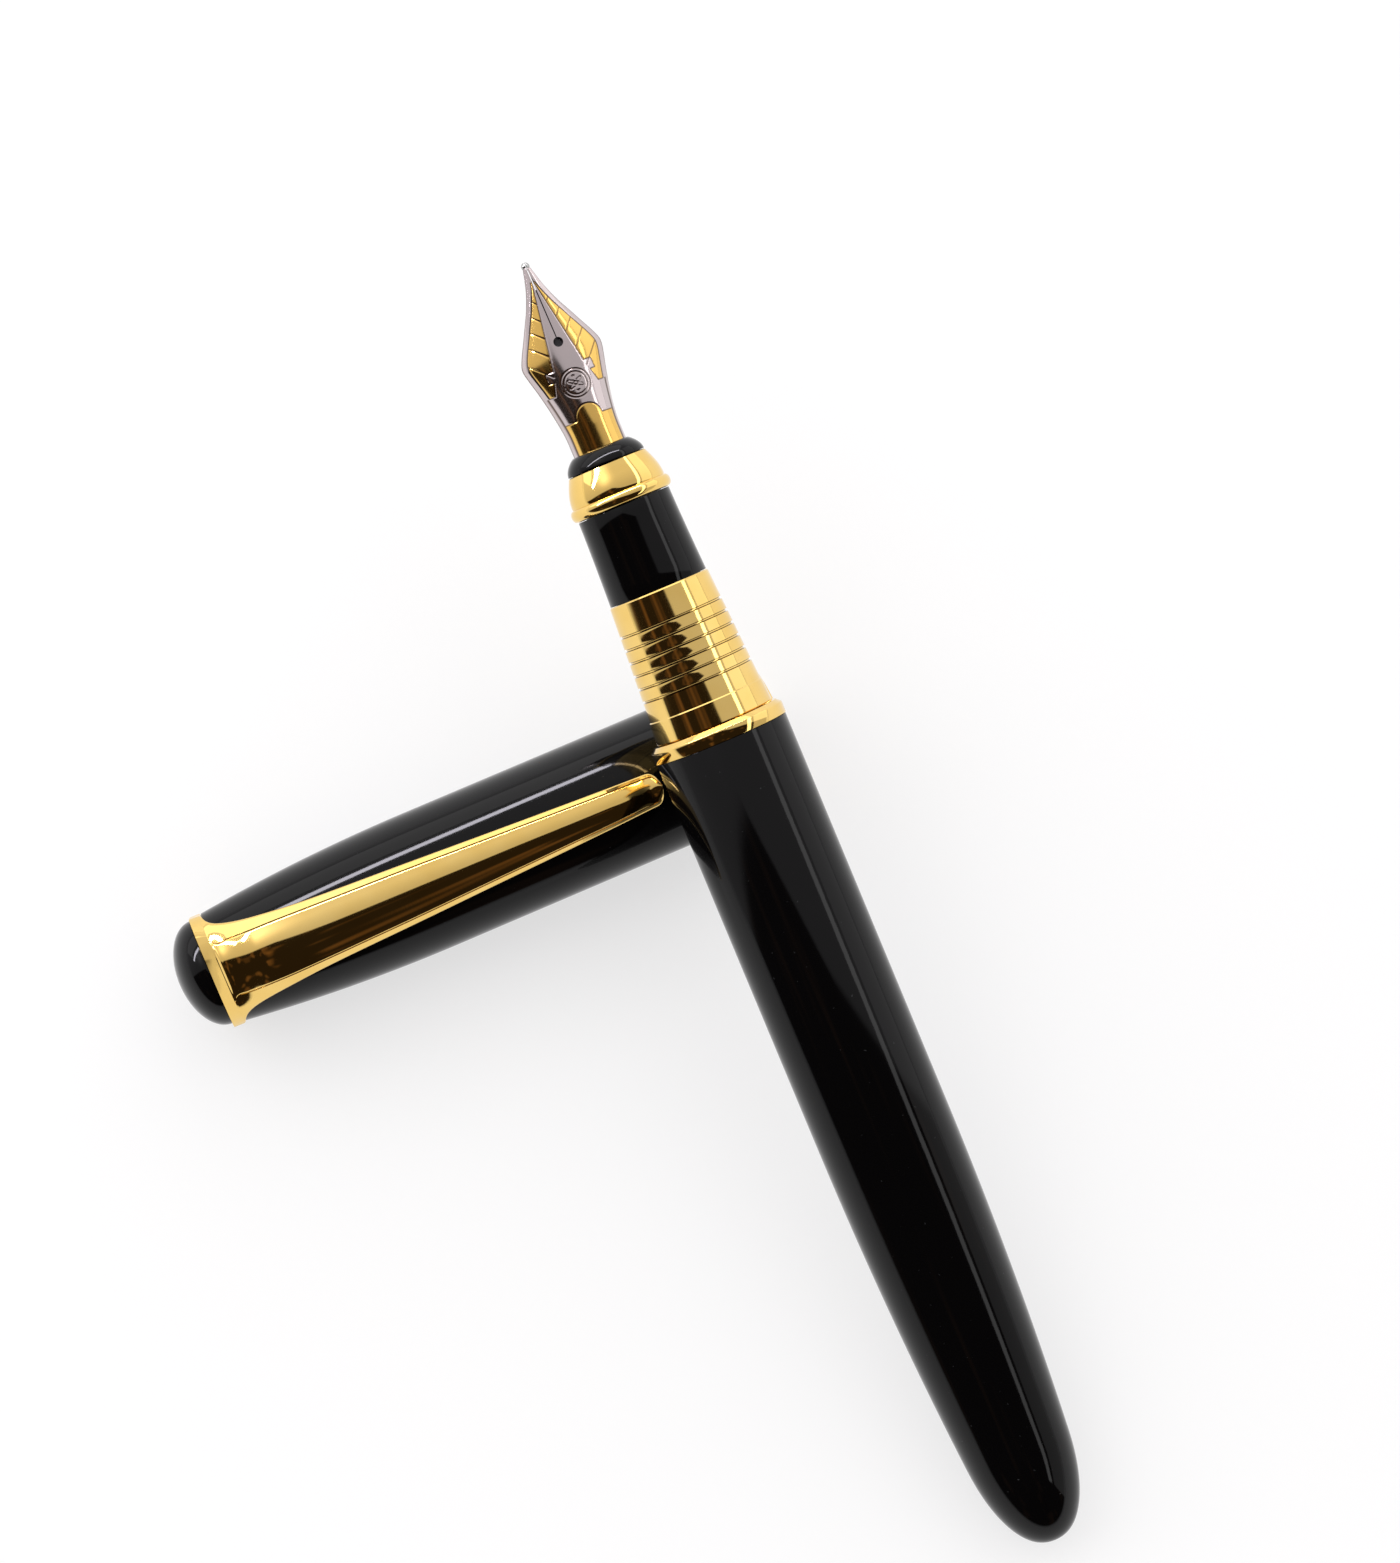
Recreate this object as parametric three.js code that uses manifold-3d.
// A fountain pen resting across its own cap. Millimetres, +Z up.
// The cap lies on the surface with its axis along +X, from finial to mouth. The pen lies across it,
// seen from above along +Y towards the nib, and leans so that its tail also touches the surface.

import * as THREE from 'three';
import { mergeVertices } from 'three/addons/utils/BufferGeometryUtils.js';
import { ParametricGeometry } from 'three/addons/geometries/ParametricGeometry.js';
import Module from 'manifold-3d';

const wasm = await Module();
wasm.setup();

// ---------------------------------------------------------------- driving sizes
// Places along the pen run back from the tip of the nib; places along the cap run from its apex.

// Clearances
const seatGap = 0.05;        // between pieces that seat on each other
const slideGap = 0.05;       // radial, between pieces that slide or turn in each other
const threadGap = 0.1;       // radial, over the barrel's thread
const converterGap = 0.15;   // radial, between the converter and the section's liner
const capFit = 0.19;         // radial, between the band's widest edge and the cap's bore
const flexGap = 0.2;         // between the clip's strap and its root

// Whole pen and cap
const penLength = 122;
const barrelRadius = 6.1;
const capBeyondNib = 15.3;  // tip of the nib to the cap's apex when the pen is capped
const capRadius = 6.42;
const tubeWall = 0.8;        // brass wall of barrel and cap

// Nib and feed
const nibExposed = 17.3;     // tip of the nib to the face of its housing
const nibBuried = 6.5;
const nibThickness = 0.38;
const nibShoulderAt = 8.6;
const nibShoulderHalf = 3.7;
const nibWaistAt = 15.2;
const nibWaistRadius = 2.45;
const nibTipHalf = 0.36;
const nibTipDrop = 1.5;      // crown of the nib's waist to the crown of its tip
const nibSlitWidth = 0.1;
const breatherAt = 7.5;
const breatherRadius = 0.43;
const tippingRadius = 0.38;
const feedStart = 2.6;
const feedDepth = 2.05;      // pen axis to the feed's belly
const nippleRadius = 1.25;
const nippleLength = 6.5;

// Section, from the black nose to the threads
const noseLength = 1.45;
const noseFrontLip = 0.56;   // face of the nose around its bore
const noseRearProud = 0.37;  // nose over the housing behind it
const housingWall = 0.7;
const housingLength = 13;
const trimDomeLength = 2.6;
const trimDomeProud = 0.07;  // dome's widest over the grip
const trimBeadLength = 1.22;
const trimBeadProud = 0.4;   // bead over the grip
const gripLength = 7.85;
const gripWall = 0.31;
const gripFlare = 0.26;      // front to rear
const bandLength = 12.73;
const bandProud = 0.1;       // front of the band over the rear of the grip
const bandStepLength = 2.15; // plain collar at the rear of the band
const bandStepHeight = 0.08;
const grooveCount = 6;
const groovePitch = 1.19;
const grooveWidth = 0.24;
const grooveDepth = 0.16;
const firstGrooveAt = 2.76;  // from the front of the band
const coreWall = 0.45;
const coreFrontWall = 0.25;
const threadLength = 7.2;

// Barrel
const ringLength = 1.4;
const ringProud = 0.07;      // ring over the barrel
const ringBevel = 0.35;
const bushLength = 8.4;
const bushWall = 0.45;
const barrelTaperLength = 40;
const barrelTaperDrop = 1.97;
const tailRounding = 9;
const tailSquareness = 2.4;
const tailSolid = 8;         // solid end of the barrel, behind its cavity

// Converter
const converterRadius = 3.3;
const converterWall = 0.6;
const mouthLength = 5.5;
const tubeLength = 46.5;
const bandOverTube = 8;
const bandOverKnob = 3.7;
const bandThickness = 0.3;
const knobLength = 22.2;
const knobBore = 1.3;
const rodRadius = 1.1;
const pistonLength = 4;
const pistonStroke = 20;

// Cap
const domeHeight = 3;
const domeInset = 0.24;      // dome inside the end of the tube
const clipRingLength = 1.1;
const clipRingProud = 0.05;  // ring over the end of the tube
const stemRadius = 2.5;
const capTaperLength = 20;
const capEndRadius = 5.2;
const capEndWall = 1.1;
const nutLength = 2.3;
const nutInset = 0.3;        // nut inside the bore of the tube
const lipLength = 1.15;
const lipSpigotLength = 2;
const lipSpigotWall = 0.35;
const linerWall = 0.7;
const linerPastBead = 1.1;   // how far the liner reaches past the trim's bead when capped
const linerLip = 0.15;

// Clip
const clipToMouth = 12.45;   // end of the strap to the mouth of the cap
const clipRootHalf = 4.3;
const clipShoulderAt = 5.6;  // from the front of the ring
const clipShoulderHalf = 3.55;
const clipWaistAt = 12.4;
const clipWaistHalf = 2.9;
const clipTipHalf = 1.55;
const clipThickness = 1;
const clipStandoff = 1.1;    // strap above the cap, along its middle
const clipTouchGap = 0.12;   // strap above the cap where it presses
const clipRise = 1.3;        // height of the root above the ring

// How the two lie
const clipUnderPen = 0.2;    // how far the clip's end reaches under the side of the barrel
const crossBehindRing = 3.6; // where the cap crosses the pen, behind the front of the barrel's ring
const restGap = 0.05;
const capRoll = THREE.MathUtils.degToRad(12);

// Facets around
const around = 32;
const aroundSmall = 20;

// ---------------------------------------------------------------- places worked out from the sizes
const housingRadius = nibWaistRadius + slideGap + housingWall;
const noseFrontRadius = nibWaistRadius + slideGap + noseFrontLip;
const noseRearRadius = housingRadius + noseRearProud;
const boreRadius = Math.max(converterRadius + converterGap, housingRadius + slideGap);
const coreRadius = boreRadius + coreWall;
const coreFrontRadius = housingRadius + slideGap + coreFrontWall;
const gripFrontRadius = coreRadius + seatGap + gripWall;
const gripRearRadius = gripFrontRadius + gripFlare;
const trimDomeRadius = gripFrontRadius + trimDomeProud;
const trimBeadRadius = gripFrontRadius + trimBeadProud;
const bandFrontRadius = gripRearRadius + bandProud;
const bandRearRadius = capRadius - tubeWall - capFit;
const threadRadius = barrelRadius - tubeWall - seatGap - bushWall - threadGap;
const ringRadius = barrelRadius + ringProud;
const clipRingRadius = capEndRadius + clipRingProud;

const trimAt = nibExposed + noseLength + seatGap;
const gripAt = trimAt + trimDomeLength + trimBeadLength + seatGap;
const bandAt = gripAt + gripLength + seatGap;
const ringAt = bandAt + bandLength + seatGap;
const barrelAt = ringAt + ringLength + seatGap;
const housingEnd = trimAt + housingLength;
const webAt = housingEnd + seatGap;
const converterAt = webAt + 2;
const tubeEnd = converterAt + tubeLength;
const knobAt = tubeEnd + bandOverKnob + 2 * seatGap;
const nippleEnd = converterAt + nippleLength - 2;
const crossFromTip = ringAt + crossBehindRing;
const crossFromMouth = clipToMouth - barrelRadius + clipUnderPen;
const capLength = ringAt + capBeyondNib;
const clipRingAt = domeHeight + seatGap;
const capTubeAt = clipRingAt + clipRingLength + seatGap;
const nutAt = capTubeAt + capEndWall + seatGap;
const linerAt = nutAt + nutLength + seatGap;
const beadInCap = capLength - (ringAt - trimAt - trimDomeLength - trimBeadLength);
const linerEnd = beadInCap + linerPastBead;
const clipEnd = capLength - clipToMouth;

// ---------------------------------------------------------------- shared curves
function smooth(t) {
  const s = THREE.MathUtils.clamp(t, 0, 1);
  return s * s * (3 - 2 * s);
}

// Outside of the barrel: a long quadratic taper times a squarish round end.
function barrelOutside(fromTip) {
  const fromTail = penLength - fromTip;
  const taper = Math.max(0, 1 - fromTail / barrelTaperLength);
  const end = Math.max(0, 1 - fromTail / tailRounding);
  const rounding = Math.pow(1 - Math.pow(end, tailSquareness), 1 / tailSquareness);
  return (barrelRadius - barrelTaperDrop * taper * taper) * rounding;
}

// Outside of the cap: it swells quadratically from the clip ring to its full width.
function capOutside(fromApex) {
  const left = Math.max(0, 1 - (fromApex - capTubeAt) / capTaperLength);
  return capRadius - (capRadius - capEndRadius) * left * left;
}

function nibHalfWidth(fromTip) {
  if (fromTip < nibShoulderAt) {
    const swell = smooth(Math.pow(Math.max(0, fromTip) / nibShoulderAt, 1.25));
    return nibTipHalf + (nibShoulderHalf - nibTipHalf) * swell;
  }
  const narrowing = smooth((fromTip - nibShoulderAt) / (nibWaistAt - nibShoulderAt));
  return nibShoulderHalf + (nibWaistRadius - nibShoulderHalf) * narrowing;
}

// Half of the angle that the nib's sheet bends through, from almost flat tines to a half-round waist.
function nibHalfAngle(fromTip) {
  const front = 42 + 14 * smooth(fromTip / nibShoulderAt);
  const rear = 31 * smooth((fromTip - nibShoulderAt) / (nibWaistAt - nibShoulderAt));
  return THREE.MathUtils.degToRad(front + rear);
}

function nibCrown(fromTip) {
  const left = Math.max(0, 1 - fromTip / nibWaistAt);
  return nibWaistRadius - nibTipDrop * Math.pow(left, 1.5);
}

// A point of the nib's sheet: side runs from -1 to 1 across it, depth is how far under its top.
function nibPoint(fromTip, side, depth, target) {
  const halfAngle = nibHalfAngle(fromTip);
  const bend = nibHalfWidth(fromTip) / Math.sin(halfAngle);
  const angle = halfAngle * side;
  const radius = Math.max(bend - depth, 0.05);
  return target.set(radius * Math.sin(angle), -fromTip, nibCrown(fromTip) - bend + radius * Math.cos(angle));
}

// The pen leans until its tail touches the surface that the cap lies on.
function findLean() {
  const apart = capRadius + barrelOutside(crossFromTip) + restGap;
  const lowest = (lean) => {
    let low = Infinity;
    for (let i = 0; i <= 200; i += 1) {
      const fromTip = crossFromTip + (penLength - crossFromTip) * i / 200;
      const axis = capRadius + apart * Math.cos(lean) - (fromTip - crossFromTip) * Math.sin(lean);
      low = Math.min(low, axis - barrelOutside(fromTip) * Math.cos(lean));
    }
    return low;
  };
  let flat = 0;
  let steep = 0.6;
  for (let i = 0; i < 40; i += 1) {
    const middle = (flat + steep) / 2;
    if (lowest(middle) > 0) flat = middle;
    else steep = middle;
  }
  return flat;
}

// ---------------------------------------------------------------- making solids
function penPoint(radius, fromTip) {
  return new THREE.Vector2(radius, -fromTip);
}

function capPoint(radius, fromApex) {
  return new THREE.Vector2(radius, fromApex);
}

// Points of an outline between two places, with its radius given by a formula.
function outline(point, from, to, steps, radiusAt) {
  const points = [];
  for (let i = 0; i <= steps; i += 1) {
    const along = from + (to - from) * i / steps;
    points.push(point(radiusAt(along), along));
  }
  return points;
}

// A plain ring or tube: the closed profile of a rectangle.
function sleeve(point, outer, inner, from, to) {
  return [point(inner, from), point(outer, from), point(outer, to), point(inner, to), point(inner, from)];
}

// One closed body with shared corners and its faces pointing out.
function closed(geometry) {
  geometry.deleteAttribute('normal');
  geometry.deleteAttribute('uv');
  const merged = mergeVertices(geometry, 1e-5);
  const places = merged.attributes.position;
  const kept = [];
  let volume = 0;
  const a = new THREE.Vector3();
  const b = new THREE.Vector3();
  const c = new THREE.Vector3();
  for (let i = 0; i < merged.index.count; i += 3) {
    const corners = [merged.index.getX(i), merged.index.getX(i + 1), merged.index.getX(i + 2)];
    if (new Set(corners).size < 3) continue;
    kept.push(corners);
    a.fromBufferAttribute(places, corners[0]);
    b.fromBufferAttribute(places, corners[1]);
    c.fromBufferAttribute(places, corners[2]);
    volume += a.dot(b.cross(c));
  }
  if (volume < 0) kept.forEach((corners) => corners.reverse());
  merged.setIndex(kept.flat());
  return merged;
}

function turned(points, segments = around) {
  return closed(new THREE.LatheGeometry(points, segments));
}

function solid(geometry) {
  const ready = closed(geometry);
  const vertProperties = new Float32Array(ready.attributes.position.array);
  const triVerts = new Uint32Array(ready.index.array);
  return new wasm.Manifold(new wasm.Mesh({ numProp: 3, vertProperties, triVerts }));
}

function shown(body) {
  const mesh = body.getMesh();
  const geometry = new THREE.BufferGeometry();
  geometry.setAttribute('position', new THREE.BufferAttribute(new Float32Array(mesh.vertProperties), 3));
  geometry.setIndex(new THREE.BufferAttribute(new Uint32Array(mesh.triVerts), 1));
  return geometry;
}

function piece(name, geometry, material) {
  const mesh = new THREE.Mesh(geometry, material);
  mesh.name = name;
  geometry.computeVertexNormals();
  return mesh;
}

// ---------------------------------------------------------------- materials
function blackLacquer() {
  return new THREE.MeshStandardMaterial({ color: 0x0b0a0b, roughness: 0.12, metalness: 0 });
}

function goldPlate() {
  return new THREE.MeshStandardMaterial({ color: 0xe0b04a, roughness: 0.12, metalness: 1 });
}

function nibSteel() {
  return new THREE.MeshStandardMaterial({ color: 0xb9b6b4, roughness: 0.2, metalness: 1 });
}

function tippingMetal() {
  return new THREE.MeshStandardMaterial({ color: 0xd8d6d2, roughness: 0.3, metalness: 1 });
}

function rawBrass() {
  return new THREE.MeshStandardMaterial({ color: 0xb08d4c, roughness: 0.35, metalness: 1 });
}

function blackPlastic() {
  return new THREE.MeshStandardMaterial({ color: 0x121214, roughness: 0.35, metalness: 0 });
}

function clearPlastic() {
  return new THREE.MeshStandardMaterial({ color: 0xe8eef2, roughness: 0.08, metalness: 0 });
}

function greyRubber() {
  return new THREE.MeshStandardMaterial({ color: 0x3a3c40, roughness: 0.6, metalness: 0 });
}

// ---------------------------------------------------------------- nib unit
// Two-tone sheet of steel, bent round the feed, with a slit that ends in a breather hole.
function makeNib() {
  const front = tippingRadius * 2 + seatGap;
  const rear = nibExposed + nibBuried;
  const across = 14;
  const along = 26;
  // The sheet is a loop that goes out over its top and back along its underside. Its first and
  // last rows fold onto the top, which closes both ends.
  const loop = (u, v, target) => {
    const row = THREE.MathUtils.clamp((u * (along + 2) - 1) / along, 0, 1);
    const isEnd = u < 0.5 / (along + 2) || u > 1 - 0.5 / (along + 2);
    const onTop = v <= 0.5 || v === 1;
    const side = v <= 0.5 ? v * 4 - 1 : 3 - v * 4;
    nibPoint(front + (rear - front) * row, side, onTop || isEnd ? 0 : nibThickness, target);
  };
  const sheet = new ParametricGeometry(loop, along + 2, across * 2);
  const slit = new THREE.BoxGeometry(nibSlitWidth, breatherAt + 1, 4 * nibWaistRadius);
  slit.translate(0, 0.5 - breatherAt / 2, nibWaistRadius);
  const hole = new THREE.CylinderGeometry(breatherRadius, breatherRadius, 2 * nibWaistRadius, aroundSmall);
  hole.rotateX(Math.PI / 2);
  hole.translate(0, -breatherAt, nibWaistRadius);
  const cut = solid(sheet).subtract(solid(slit)).subtract(solid(hole));
  return piece('nib', shown(cut), nibSteel());
}

// Half of the writing pellet, on one tine.
function makeTipping(name, side) {
  const start = Math.asin(nibSlitWidth / 2 / tippingRadius);
  const arc = [new THREE.Vector2(0, nibSlitWidth / 2)];
  for (let i = 0; i <= 8; i += 1) {
    const turn = start + (Math.PI / 2 - start) * i / 8;
    arc.push(new THREE.Vector2(i < 8 ? tippingRadius * Math.cos(turn) : 0, tippingRadius * Math.sin(turn)));
  }
  const half = new THREE.LatheGeometry(arc, aroundSmall);
  half.rotateZ(-side * Math.PI / 2);
  half.translate(0, -tippingRadius, nibCrown(0) - tippingRadius * 0.8);
  return piece(name, closed(half), tippingMetal());
}

// Ink feed: it fills the nib's hollow in front, is round in the housing and ends in a nipple.
function makeFeed() {
  const rear = housingEnd - 1;
  const across = 10;
  const along = 20;
  const loop = (u, v, target) => {
    const row = THREE.MathUtils.clamp((u * (along + 2) - 1) / along, 0, 1);
    const fromTip = feedStart + (rear - feedStart) * row;
    const top = nibThickness + seatGap;
    const deep = feedDepth * smooth((fromTip - feedStart + 1.5) / 8);
    const width = Math.min(nibHalfWidth(fromTip) * 0.6, nibWaistRadius - top);
    const turn = v * 2 * Math.PI;
    const crown = nibCrown(fromTip) - top;
    const isEnd = u < 0.5 / (along + 2) || u > 1 - 0.5 / (along + 2);
    const middle = (crown - deep) / 2;
    const size = isEnd ? 0 : 1;
    const lift = Math.sin(turn) > 0 ? (crown - 0.02 - middle) : (deep + middle);
    target.set(size * width * Math.cos(turn), -fromTip, middle + size * lift * Math.sin(turn));
  };
  const body = solid(new ParametricGeometry(loop, along + 2, across * 2));
  const nipple = new THREE.LatheGeometry([
    penPoint(0, rear - 1),
    penPoint(nippleRadius, rear - 1),
    penPoint(nippleRadius, nippleEnd - 0.4),
    penPoint(nippleRadius - 0.3, nippleEnd),
    penPoint(0, nippleEnd),
  ], aroundSmall);
  return piece('feed', shown(body.add(solid(nipple))), blackPlastic());
}

// Collar that grips nib and feed; its flange is the black nose in front of the gold trim.
function makeHousing() {
  const bore = nibWaistRadius + slideGap;
  const bulge = (along) => {
    const t = (along - nibExposed) / noseLength;
    return noseFrontRadius + (noseRearRadius - noseFrontRadius) * Math.sin(t * Math.PI / 2);
  };
  const points = [
    penPoint(bore, nibExposed),
    ...outline(penPoint, nibExposed, nibExposed + noseLength, 5, bulge),
    penPoint(housingRadius, nibExposed + noseLength),
    penPoint(housingRadius, housingEnd),
    penPoint(bore, housingEnd),
    penPoint(bore, nibExposed),
  ];
  return piece('nib_housing', turned(points, aroundSmall), blackPlastic());
}

// ---------------------------------------------------------------- section
function makeFrontTrim() {
  const domeEnd = trimAt + trimDomeLength;
  const beadEnd = domeEnd + trimBeadLength;
  const beadMiddle = (domeEnd + beadEnd) / 2;
  const dome = (along) => {
    const t = (along - trimAt) / trimDomeLength;
    return noseRearRadius + (trimDomeRadius - noseRearRadius) * Math.sin(t * Math.PI / 2);
  };
  const bead = (along) => {
    const t = (along - beadMiddle) / (trimBeadLength / 2);
    return trimDomeRadius + (trimBeadRadius - trimDomeRadius) * Math.sqrt(Math.max(0, 1 - t * t));
  };
  const lipEnd = trimAt + 0.8;
  const points = [
    penPoint(housingRadius + slideGap, trimAt),
    ...outline(penPoint, trimAt, domeEnd, 5, dome),
    ...outline(penPoint, domeEnd + 0.1, beadEnd - 0.1, 6, bead),
    penPoint(gripFrontRadius, beadEnd),
    penPoint(coreFrontRadius + seatGap, beadEnd),
    penPoint(coreFrontRadius + seatGap, lipEnd),
    penPoint(housingRadius + slideGap, lipEnd),
    penPoint(housingRadius + slideGap, trimAt),
  ];
  return piece('front_trim', turned(points), goldPlate());
}

function makeGrip() {
  const bore = coreRadius + seatGap;
  const points = [
    penPoint(bore, gripAt),
    penPoint(gripFrontRadius, gripAt),
    penPoint(gripRearRadius, gripAt + gripLength),
    penPoint(bore, gripAt + gripLength),
    penPoint(bore, gripAt),
  ];
  return piece('grip_section', turned(points), blackLacquer());
}

// Tapered gold band with turned grooves and a plain stepped collar.
function makeCentreBand() {
  const bore = coreRadius + seatGap;
  const bandEnd = bandAt + bandLength;
  const stepAt = bandEnd - bandStepLength;
  const flank = (along) => {
    const t = (along - bandAt) / bandLength;
    return bandFrontRadius + (bandRearRadius - bandStepHeight - bandFrontRadius) * t;
  };
  const points = [penPoint(bore, bandAt), penPoint(flank(bandAt), bandAt)];
  for (let i = 0; i < grooveCount; i += 1) {
    const middle = bandAt + firstGrooveAt + i * groovePitch;
    points.push(penPoint(flank(middle - grooveWidth / 2), middle - grooveWidth / 2));
    points.push(penPoint(flank(middle) - grooveDepth, middle));
    points.push(penPoint(flank(middle + grooveWidth / 2), middle + grooveWidth / 2));
  }
  points.push(penPoint(flank(stepAt), stepAt));
  points.push(penPoint(flank(stepAt) + bandStepHeight, stepAt + bandStepHeight));
  points.push(penPoint(bandRearRadius, bandEnd));
  points.push(penPoint(bore, bandEnd));
  points.push(penPoint(bore, bandAt));
  return piece('centre_band', turned(points), goldPlate());
}

// Liner of the section: it holds the nib unit in front, takes the converter behind and is
// threaded where it screws into the barrel.
function makeCore() {
  const front = trimAt + 0.8 + seatGap;
  const webEnd = converterAt - seatGap;
  const threadEnd = ringAt + threadLength;
  const points = [
    penPoint(housingRadius + slideGap, front),
    penPoint(coreFrontRadius, front),
    penPoint(coreFrontRadius, gripAt),
    penPoint(coreRadius, gripAt),
    penPoint(coreRadius, ringAt),
    penPoint(threadRadius, ringAt),
    penPoint(threadRadius, threadEnd),
    penPoint(boreRadius, threadEnd),
    penPoint(boreRadius, webEnd),
    penPoint(nippleRadius + 0.4, webEnd),
    penPoint(nippleRadius + 0.4, webAt),
    penPoint(housingRadius + slideGap, webAt),
    penPoint(housingRadius + slideGap, front),
  ];
  return piece('section_core', turned(points), blackPlastic());
}

// ---------------------------------------------------------------- converter
function makeConverterTube() {
  const bore = converterRadius - converterWall;
  const mouthBore = nippleRadius + slideGap;
  const points = [
    penPoint(mouthBore, converterAt),
    penPoint(converterRadius - 0.4, converterAt),
    penPoint(converterRadius, converterAt + 0.6),
    penPoint(converterRadius, tubeEnd),
    penPoint(bore, tubeEnd),
    penPoint(bore, converterAt + mouthLength),
    penPoint(mouthBore, converterAt + mouthLength),
    penPoint(mouthBore, converterAt),
  ];
  return piece('converter_tube', turned(points, aroundSmall), clearPlastic());
}

function makeConverterBand() {
  const inner = converterRadius + slideGap;
  const from = tubeEnd - bandOverTube;
  const to = tubeEnd + bandOverKnob;
  const points = sleeve(penPoint, inner + bandThickness, inner, from, to);
  return piece('converter_band', turned(points, aroundSmall), goldPlate());
}

// Hollow knob: its neck turns in the band, and the rod runs back into it as the piston rises.
function makeKnob() {
  const neckAt = tubeEnd + 2 * seatGap;
  const neck = converterRadius - 0.4;
  const end = knobAt + knobLength;
  const profile = [
    penPoint(0, end),
    penPoint(converterRadius - 0.5, end),
    penPoint(converterRadius, end - 0.5),
    penPoint(converterRadius, knobAt),
    penPoint(neck, knobAt),
    penPoint(neck, neckAt),
    penPoint(knobBore, neckAt),
    penPoint(knobBore, end - 1),
    penPoint(0, end - 1),
  ];
  return piece('converter_knob', turned(profile, aroundSmall), blackPlastic());
}

function makePistonSeal() {
  const radius = converterRadius - converterWall - slideGap;
  const from = converterAt + mouthLength + 1;
  const waist = radius - 0.4;
  const points = [
    penPoint(0, from),
    penPoint(radius - 0.3, from),
    penPoint(radius, from + 0.3),
    penPoint(radius, from + 1),
    penPoint(waist, from + 1.4),
    penPoint(waist, from + pistonLength - 1.4),
    penPoint(radius, from + pistonLength - 1),
    penPoint(radius, from + pistonLength),
    penPoint(0, from + pistonLength),
  ];
  return piece('piston_seal', turned(points, aroundSmall), greyRubber());
}

function makePistonRod() {
  const from = converterAt + mouthLength + 1 + pistonLength + seatGap;
  const to = knobAt + knobLength - 1 - pistonStroke - seatGap - 0.5;
  const points = [
    penPoint(0, from),
    penPoint(rodRadius * 1.8, from),
    penPoint(rodRadius * 1.8, from + 0.8),
    penPoint(rodRadius, from + 0.8),
    penPoint(rodRadius, to),
    penPoint(0, to),
  ];
  return piece('piston_rod', turned(points, aroundSmall), blackPlastic());
}

// ---------------------------------------------------------------- barrel
function makeBarrelShell() {
  const cavityEnd = penLength - tailSolid;
  const straightEnd = penLength - barrelTaperLength;
  const roundAt = penLength - tailRounding;
  const inside = (along) => barrelOutside(along) - tubeWall;
  const points = [
    penPoint(0, cavityEnd),
    ...outline(penPoint, cavityEnd, straightEnd, 5, inside),
    penPoint(barrelRadius - tubeWall, barrelAt),
    penPoint(barrelRadius, barrelAt),
    ...outline(penPoint, straightEnd, roundAt, 5, barrelOutside),
  ];
  // The end closes in steps that grow finer towards the axis.
  for (let i = 1; i <= 9; i += 1) {
    const along = roundAt + tailRounding * Math.sin(i * Math.PI / 18);
    points.push(penPoint(i < 9 ? barrelOutside(along) : 0, along));
  }
  return piece('barrel_shell', turned(points), blackLacquer());
}

function makeBarrelRing() {
  const bore = threadRadius + threadGap;
  const spigot = barrelRadius - tubeWall - seatGap;
  const end = ringAt + ringLength;
  const points = [
    penPoint(bore, ringAt),
    penPoint(ringRadius - ringBevel, ringAt),
    penPoint(ringRadius, ringAt + ringBevel),
    penPoint(ringRadius, end),
    penPoint(spigot, end),
    penPoint(spigot, end + 1.2),
    penPoint(bore, end + 1.2),
    penPoint(bore, ringAt),
  ];
  return piece('barrel_ring', turned(points), goldPlate());
}

function makeThreadBush() {
  const from = ringAt + ringLength + 1.2 + seatGap;
  const outer = barrelRadius - tubeWall - seatGap;
  const points = sleeve(penPoint, outer, threadRadius + threadGap, from, from + bushLength);
  return piece('barrel_thread_bush', turned(points), rawBrass());
}

// ---------------------------------------------------------------- cap
function makeFinial() {
  const points = [capPoint(0, 0)];
  for (let i = 1; i <= 8; i += 1) {
    const turn = (i / 8) * Math.PI / 2;
    points.push(capPoint((capEndRadius - domeInset) * Math.sin(turn), domeHeight * (1 - Math.cos(turn))));
  }
  points.push(capPoint(stemRadius, domeHeight));
  points.push(capPoint(stemRadius, linerAt - seatGap));
  points.push(capPoint(0, linerAt - seatGap));
  return piece('cap_finial', turned(points), blackLacquer());
}

// Gold washer with the lug that the strap springs from.
function makeClipRing() {
  const bevel = 0.25;
  const end = clipRingAt + clipRingLength;
  const ring = new THREE.LatheGeometry([
    capPoint(stemRadius + slideGap, clipRingAt),
    capPoint(clipRingRadius - bevel, clipRingAt),
    capPoint(clipRingRadius, clipRingAt + bevel),
    capPoint(clipRingRadius, end - bevel),
    capPoint(clipRingRadius - bevel, end),
    capPoint(stemRadius + slideGap, end),
    capPoint(stemRadius + slideGap, clipRingAt),
  ], around);
  const lug = new THREE.BoxGeometry(2 * clipRootHalf, clipRingLength - 2 * bevel, clipRingRadius + clipRise);
  lug.translate(0, (clipRingAt + end) / 2, (clipRingRadius + clipRise) / 2);
  const room = new THREE.CylinderGeometry(stemRadius + 1, stemRadius + 1, 4, aroundSmall);
  room.translate(0, (clipRingAt + end) / 2, 0);
  const below = new THREE.BoxGeometry(4 * clipRootHalf, 4, clipRingRadius);
  below.translate(0, (clipRingAt + end) / 2, clipRingRadius * 0.1);
  const rising = solid(lug).subtract(solid(room)).subtract(solid(below));
  return piece('clip_ring', shown(solid(ring).add(rising)), goldPlate());
}

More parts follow.
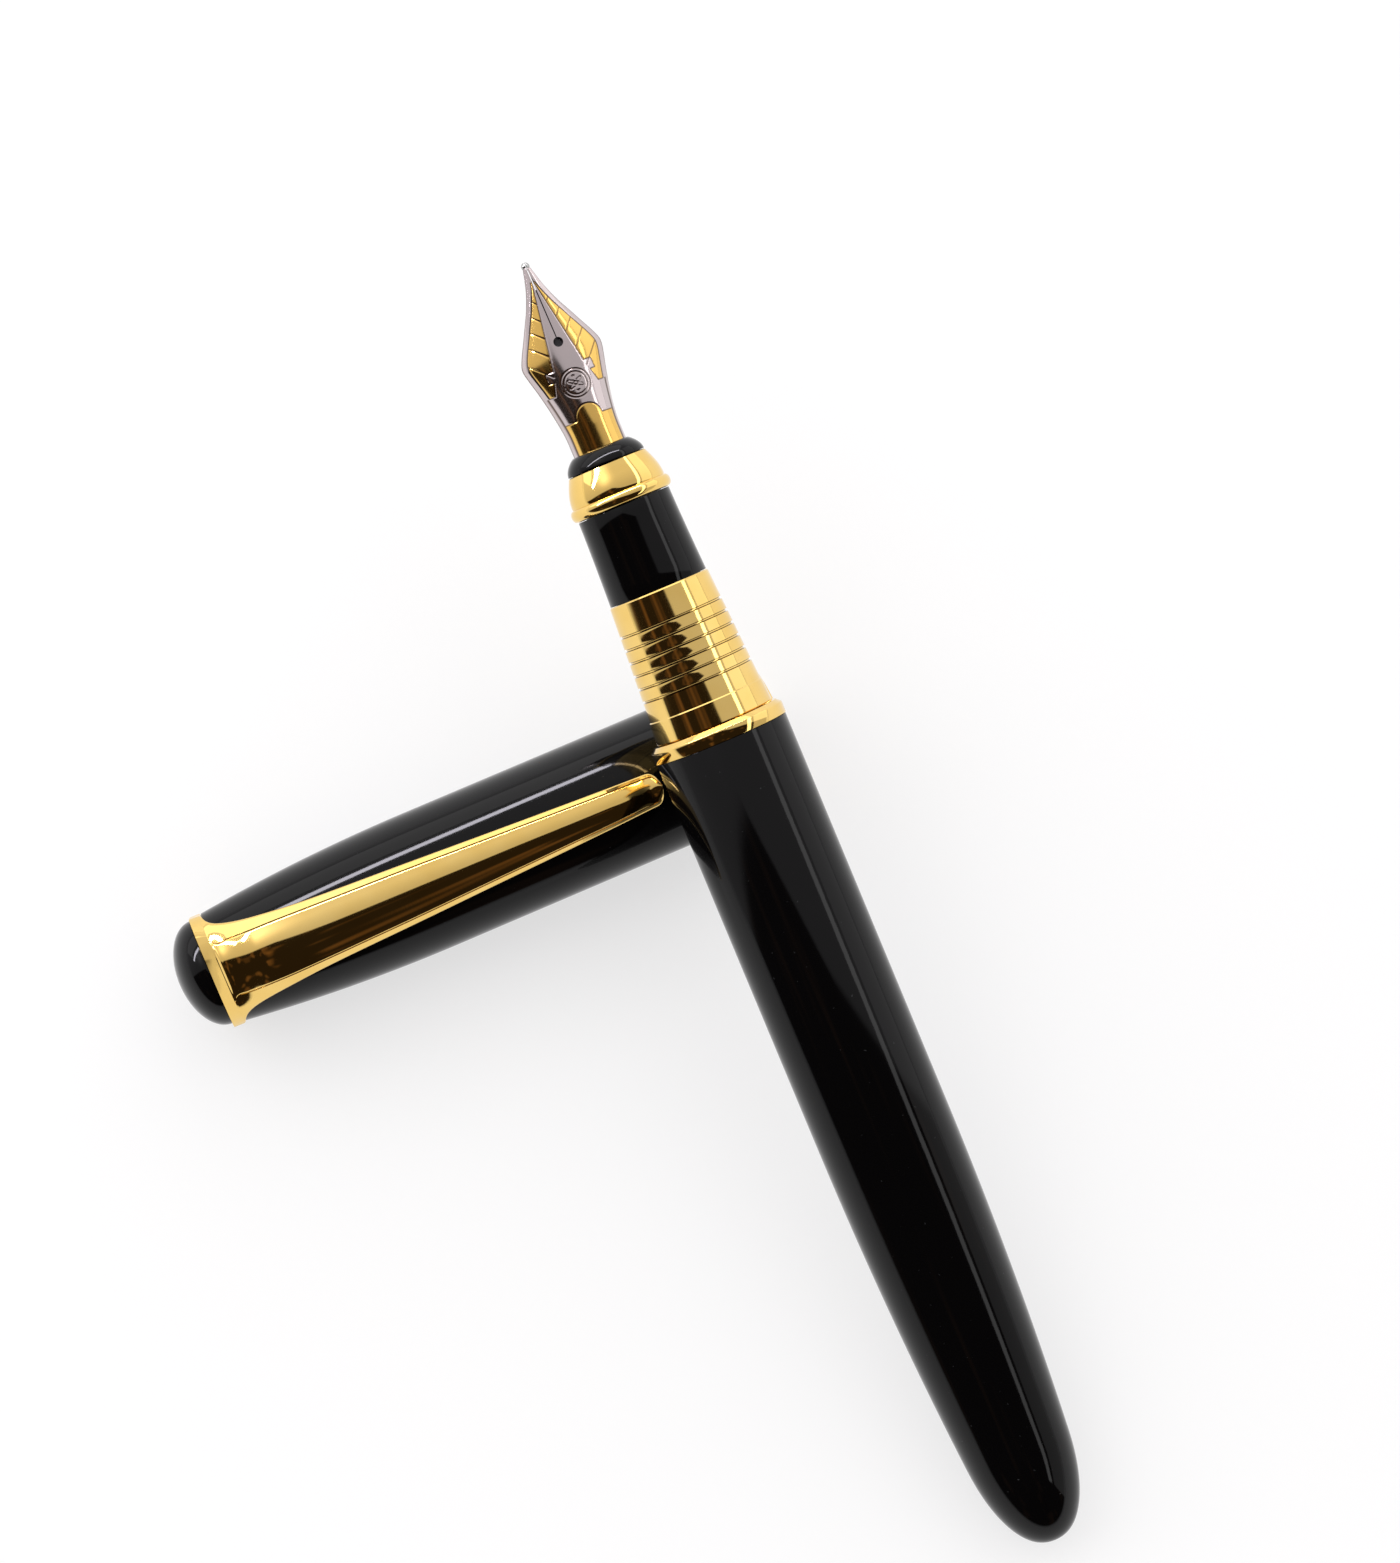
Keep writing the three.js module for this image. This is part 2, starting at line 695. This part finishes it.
// Strap: its outline seen from above, cut by its outline seen from the side.
function makeStrap() {
  const start = clipRingAt + clipRingLength + flexGap;
  const end = clipEnd;
  const shoulderAt = clipRingAt + clipShoulderAt;
  const waistAt = clipRingAt + clipWaistAt;
  const plan = new THREE.Shape();
  plan.moveTo(-clipRootHalf, start);
  plan.quadraticCurveTo(-clipShoulderHalf, start + 0.4, -clipShoulderHalf, shoulderAt);
  plan.quadraticCurveTo(-clipWaistHalf, (shoulderAt + waistAt) / 2 + 1, -clipWaistHalf, waistAt);
  plan.lineTo(-clipTipHalf, end - clipTipHalf / 2);
  plan.quadraticCurveTo(-clipTipHalf, end, 0, end);
  plan.quadraticCurveTo(clipTipHalf, end, clipTipHalf, end - clipTipHalf / 2);
  plan.lineTo(clipWaistHalf, waistAt);
  plan.quadraticCurveTo(clipWaistHalf, (shoulderAt + waistAt) / 2 + 1, clipShoulderHalf, shoulderAt);
  plan.quadraticCurveTo(clipShoulderHalf, start + 0.4, clipRootHalf, start);
  plan.closePath();
  const above = new THREE.ExtrudeGeometry(plan, { depth: 3 * capRadius, bevelEnabled: false });

  const rootUnder = clipRingRadius + clipRise - clipThickness + 0.15;
  const middle = capRadius + clipStandoff;
  const press = capRadius + clipTouchGap;
  const underside = new THREE.SplineCurve([
    new THREE.Vector2(start, rootUnder),
    new THREE.Vector2(shoulderAt, middle - 0.45),
    new THREE.Vector2(waistAt, middle),
    new THREE.Vector2((waistAt + end) / 2, middle),
    new THREE.Vector2(end - 5, middle - 0.35),
    new THREE.Vector2(end - 1.6, press),
    new THREE.Vector2(end, press + 0.25),
  ]).getPoints(24);
  const side = new THREE.Shape();
  underside.forEach((p, i) => (i === 0 ? side.moveTo(p.x, p.y) : side.lineTo(p.x, p.y)));
  [...underside].reverse().forEach((p) => side.lineTo(p.x, p.y + clipThickness));
  side.closePath();
  const beside = new THREE.ExtrudeGeometry(side, { depth: 4 * clipRootHalf, bevelEnabled: false });
  // The side outline is drawn along the cap and up; this turns it into place and centres it.
  const frame = new THREE.Matrix4().makeBasis(
    new THREE.Vector3(0, 1, 0), new THREE.Vector3(0, 0, 1), new THREE.Vector3(1, 0, 0));
  beside.applyMatrix4(frame);
  beside.translate(-2 * clipRootHalf, 0, 0);
  return piece('clip_strap', shown(solid(above).intersect(solid(beside))), goldPlate());
}

function makeCapTube() {
  const bore = stemRadius + slideGap;
  const full = capTubeAt + capTaperLength;
  const end = capLength - lipLength - seatGap;
  const inside = (along) => capOutside(along) - tubeWall;
  const counterAt = end - lipSpigotLength - seatGap;
  const counter = capRadius - tubeWall + lipSpigotWall + seatGap;
  const points = [
    capPoint(bore, capTubeAt),
    ...outline(capPoint, capTubeAt, full, 7, capOutside),
    capPoint(capRadius, end),
    capPoint(counter, end),
    capPoint(counter, counterAt),
    capPoint(capRadius - tubeWall, counterAt),
    ...outline(capPoint, full, capTubeAt + capEndWall, 6, inside),
    capPoint(bore, capTubeAt + capEndWall),
    capPoint(bore, capTubeAt),
  ];
  return piece('cap_tube', turned(points), blackLacquer());
}

function makeFinialNut() {
  const outer = capOutside(nutAt) - tubeWall - nutInset;
  const points = sleeve(capPoint, outer, stemRadius + slideGap, nutAt, nutAt + nutLength);
  return piece('finial_nut', turned(points, aroundSmall), rawBrass());
}

function makeLipRing() {
  const inner = capRadius - tubeWall;
  const flangeAt = capLength - lipLength;
  const points = [
    capPoint(inner, flangeAt - lipSpigotLength),
    capPoint(inner + lipSpigotWall, flangeAt - lipSpigotLength),
    capPoint(inner + lipSpigotWall, flangeAt),
    capPoint(capRadius, flangeAt),
    capPoint(capRadius, capLength),
    capPoint(inner, capLength),
    capPoint(inner, flangeAt - lipSpigotLength),
  ];
  return piece('cap_lip_ring', turned(points), goldPlate());
}

// Liner: closed at the finial's end, wide at its mouth, with a small lip that snaps over the bead.
function makeInnerCap() {
  const outside = (along) => capOutside(along) - tubeWall - seatGap;
  const narrow = outside(linerAt) - linerWall;
  const wide = trimBeadRadius + slideGap;
  const lip = trimBeadRadius - linerLip + slideGap;
  const widenAt = linerEnd - 7;
  const full = Math.min(capTubeAt + capTaperLength, linerEnd);
  const points = [
    capPoint(0, linerAt),
    ...outline(capPoint, linerAt, full, 6, outside),
    capPoint(outside(linerEnd), linerEnd),
    capPoint(lip, linerEnd),
    capPoint(lip, linerEnd - 0.5),
    capPoint(wide, linerEnd - 0.8),
    capPoint(wide, widenAt),
    capPoint(narrow, widenAt - 1),
    capPoint(narrow, linerAt + 1),
    capPoint(0, linerAt + 1),
  ];
  return piece('inner_cap', turned(points), blackPlastic());
}

// ---------------------------------------------------------------- assembly
const lean = findLean();
const apart = capRadius + barrelOutside(crossFromTip) + restGap;

const pen = new THREE.Group();
pen.add(makeNib());
pen.add(makeTipping('nib_tipping_left', -1));
pen.add(makeTipping('nib_tipping_right', 1));
pen.add(makeFeed());
pen.add(makeHousing());
pen.add(makeFrontTrim());
pen.add(makeGrip());
pen.add(makeCentreBand());
pen.add(makeCore());
pen.add(makeConverterTube());
pen.add(makeConverterBand());
pen.add(makeKnob());
pen.add(makePistonSeal());
pen.add(makePistonRod());
pen.add(makeBarrelShell());
pen.add(makeBarrelRing());
pen.add(makeThreadBush());
pen.rotation.x = lean;
pen.position.set(
  -crossFromMouth,
  -apart * Math.sin(lean) + crossFromTip * Math.cos(lean),
  capRadius + apart * Math.cos(lean) + crossFromTip * Math.sin(lean));

const cap = new THREE.Group();
cap.add(makeFinial());
cap.add(makeClipRing());
cap.add(makeStrap());
cap.add(makeCapTube());
cap.add(makeFinialNut());
cap.add(makeLipRing());
cap.add(makeInnerCap());
cap.rotation.set(capRoll, 0, -Math.PI / 2);
cap.position.set(-capLength, 0, capRadius);

const model = new THREE.Group();
model.add(pen);
model.add(cap);
model.updateMatrixWorld(true);
const box = new THREE.Box3().setFromObject(model, true);
model.position.set(-(box.min.x + box.max.x) / 2, -(box.min.y + box.max.y) / 2, -box.min.z);

const part = new THREE.Group();
part.add(model);
export default part;
